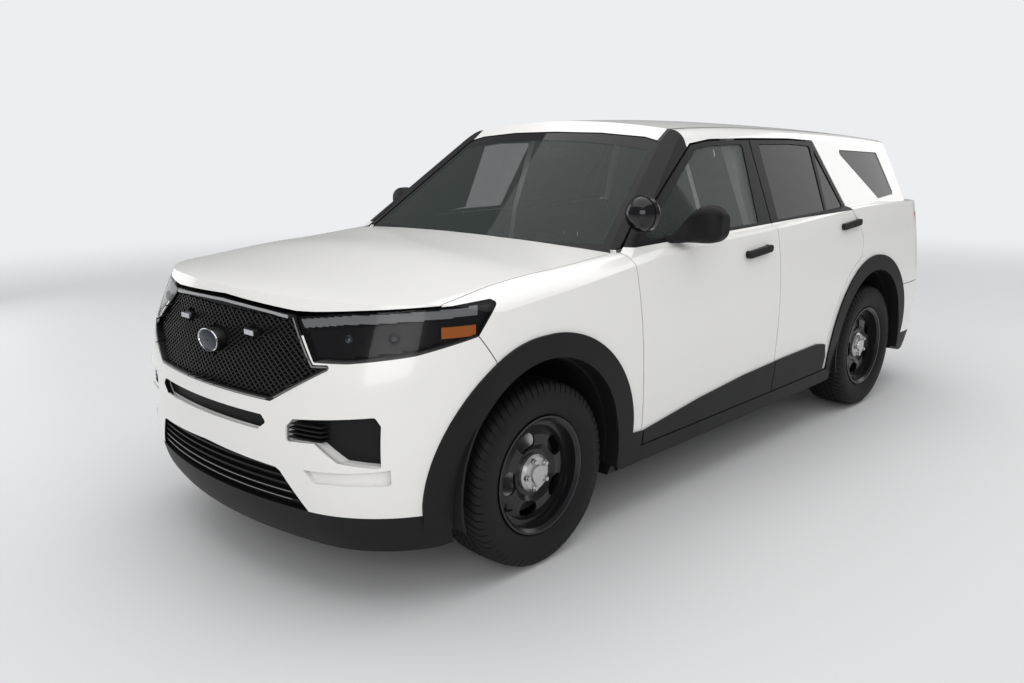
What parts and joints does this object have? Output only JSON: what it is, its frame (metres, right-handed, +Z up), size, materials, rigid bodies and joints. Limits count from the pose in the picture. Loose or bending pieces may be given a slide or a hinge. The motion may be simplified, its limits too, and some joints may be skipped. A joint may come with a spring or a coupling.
{
  "type": "police patrol car",
  "caption": "Full-size white police utility car with black steel wheels, black side trim, dark mesh grille and a pillar spotlight; doors, hood, tailgate, steering and wheels move.",
  "frame": {"origin": "on the floor under the middle of the car's bounding box", "axes": "+Z up, the car's front faces -Y, its left (driver's) side is +X"},
  "size_m": [2.268, 5.0529, 1.772],
  "materials": {
    "white_paint": "gloss",
    "black_trim": "matt grain",
    "black_gloss": "gloss",
    "clear_glass": "clear, light green",
    "dark_glass": "dark tint",
    "tyre": "matt",
    "black_steel": "satin",
    "bare_steel": "satin",
    "cast": "rough",
    "lamp_smoke": "smoked gloss",
    "lamp_red": "gloss",
    "seat_cloth": "woven",
    "chassis_black": "matt"
  },
  "bodies": {
    "chassis": {"body_side_left": "white_paint", "body_side_right": "white_paint", "quarter_glass": "dark_glass", "fender_left": "white_paint", "fender_right": "white_paint", "front_bumper": "white_paint", "headlamps": "lamp_smoke", "front_inserts": "black_trim", "grille": "black_trim", "front_valance": "black_trim", "rear_bumper": "white_paint", "rear_valance": "black_trim", "tail_lamps": "lamp_red", "roof_panel": "white_paint", "roof_strips": "black_trim", "windshield": "clear_glass", "cowl": "black_trim", "side_mouldings": "black_trim", "spotlight": "black_gloss", "floor_pan": "chassis_black", "wheel_liners": "black_trim", "engine_block": "cast", "front_frame": "chassis_black", "rear_frame": "chassis_black", "dashboard": "black_trim", "front_seats": "seat_cloth", "rear_seat": "seat_cloth", "exhaust": "bare_steel"},
    "hood": {"hood": "white_paint"},
    "tailgate": {"tailgate": "white_paint", "tailgate_glass": "dark_glass"},
    "door_front_left": {"door_front_left": "white_paint", "glass_front_left": "clear_glass", "trim_front_left": "black_trim"},
    "door_front_right": {"door_front_right": "white_paint", "glass_front_right": "clear_glass", "trim_front_right": "black_trim"},
    "door_rear_left": {"door_rear_left": "white_paint", "glass_rear_left": "dark_glass", "trim_rear_left": "black_trim"},
    "door_rear_right": {"door_rear_right": "white_paint", "glass_rear_right": "dark_glass", "trim_rear_right": "black_trim"},
    "knuckle_front_left": {"knuckle_front_left": "cast"},
    "knuckle_front_right": {"knuckle_front_right": "cast"},
    "wheel_front_left": {"tyre_front_left": "tyre", "wheel_front_left": "black_steel", "hub_front_left": "bare_steel"},
    "wheel_front_right": {"tyre_front_right": "tyre", "wheel_front_right": "black_steel", "hub_front_right": "bare_steel"},
    "wheel_rear_left": {"tyre_rear_left": "tyre", "wheel_rear_left": "black_steel", "hub_rear_left": "bare_steel"},
    "wheel_rear_right": {"tyre_rear_right": "tyre", "wheel_rear_right": "black_steel", "hub_rear_right": "bare_steel"}
  },
  "joints": [
    {"name": "hood_hinge", "type": "hinge", "parent": "chassis", "child": "hood", "pos_m": [0, -1.044, 1.188], "axis": [-1, 0, 0], "range_deg": [0, 55]},
    {"name": "tailgate_hinge", "type": "hinge", "parent": "chassis", "child": "tailgate", "pos_m": [0, 2.1925, 1.677], "axis": [1, 0, 0], "range_deg": [0, 78]},
    {"name": "door_front_left_hinge", "type": "hinge", "parent": "chassis", "child": "door_front_left", "pos_m": [0.978, -0.93, 0.8], "axis": [0, 0, -1], "range_deg": [0, 65]},
    {"name": "door_front_right_hinge", "type": "hinge", "parent": "chassis", "child": "door_front_right", "pos_m": [-0.978, -0.93, 0.8], "axis": [0, 0, 1], "range_deg": [0, 65]},
    {"name": "door_rear_left_hinge", "type": "hinge", "parent": "chassis", "child": "door_rear_left", "pos_m": [0.978, 0.2685, 0.8], "axis": [0, 0, -1], "range_deg": [0, 65]},
    {"name": "door_rear_right_hinge", "type": "hinge", "parent": "chassis", "child": "door_rear_right", "pos_m": [-0.978, 0.2685, 0.8], "axis": [0, 0, 1], "range_deg": [0, 65]},
    {"name": "steering_left", "type": "hinge", "parent": "chassis", "child": "knuckle_front_left", "pos_m": [0.792, -1.61, 0.3816], "axis": [0, 0, 1], "range_deg": [-33, 33]},
    {"name": "steering_right", "type": "hinge", "parent": "chassis", "child": "knuckle_front_right", "pos_m": [-0.792, -1.61, 0.3816], "axis": [0, 0, 1], "range_deg": [-33, 33]},
    {"name": "wheel_front_left_spin", "type": "hinge", "parent": "knuckle_front_left", "child": "wheel_front_left", "pos_m": [0.8505, -1.61, 0.3816], "axis": [1, 0, 0], "continuous": true},
    {"name": "wheel_front_right_spin", "type": "hinge", "parent": "knuckle_front_right", "child": "wheel_front_right", "pos_m": [-0.8505, -1.61, 0.3816], "axis": [1, 0, 0], "continuous": true},
    {"name": "wheel_rear_left_spin", "type": "hinge", "parent": "chassis", "child": "wheel_rear_left", "pos_m": [0.8505, 1.415, 0.3816], "axis": [1, 0, 0], "continuous": true},
    {"name": "wheel_rear_right_spin", "type": "hinge", "parent": "chassis", "child": "wheel_rear_right", "pos_m": [-0.8505, 1.415, 0.3816], "axis": [1, 0, 0], "continuous": true}
  ],
  "couplings": [
    {"joint": "steering_right", "follows": "steering_left", "ratio": 1}
  ]
}
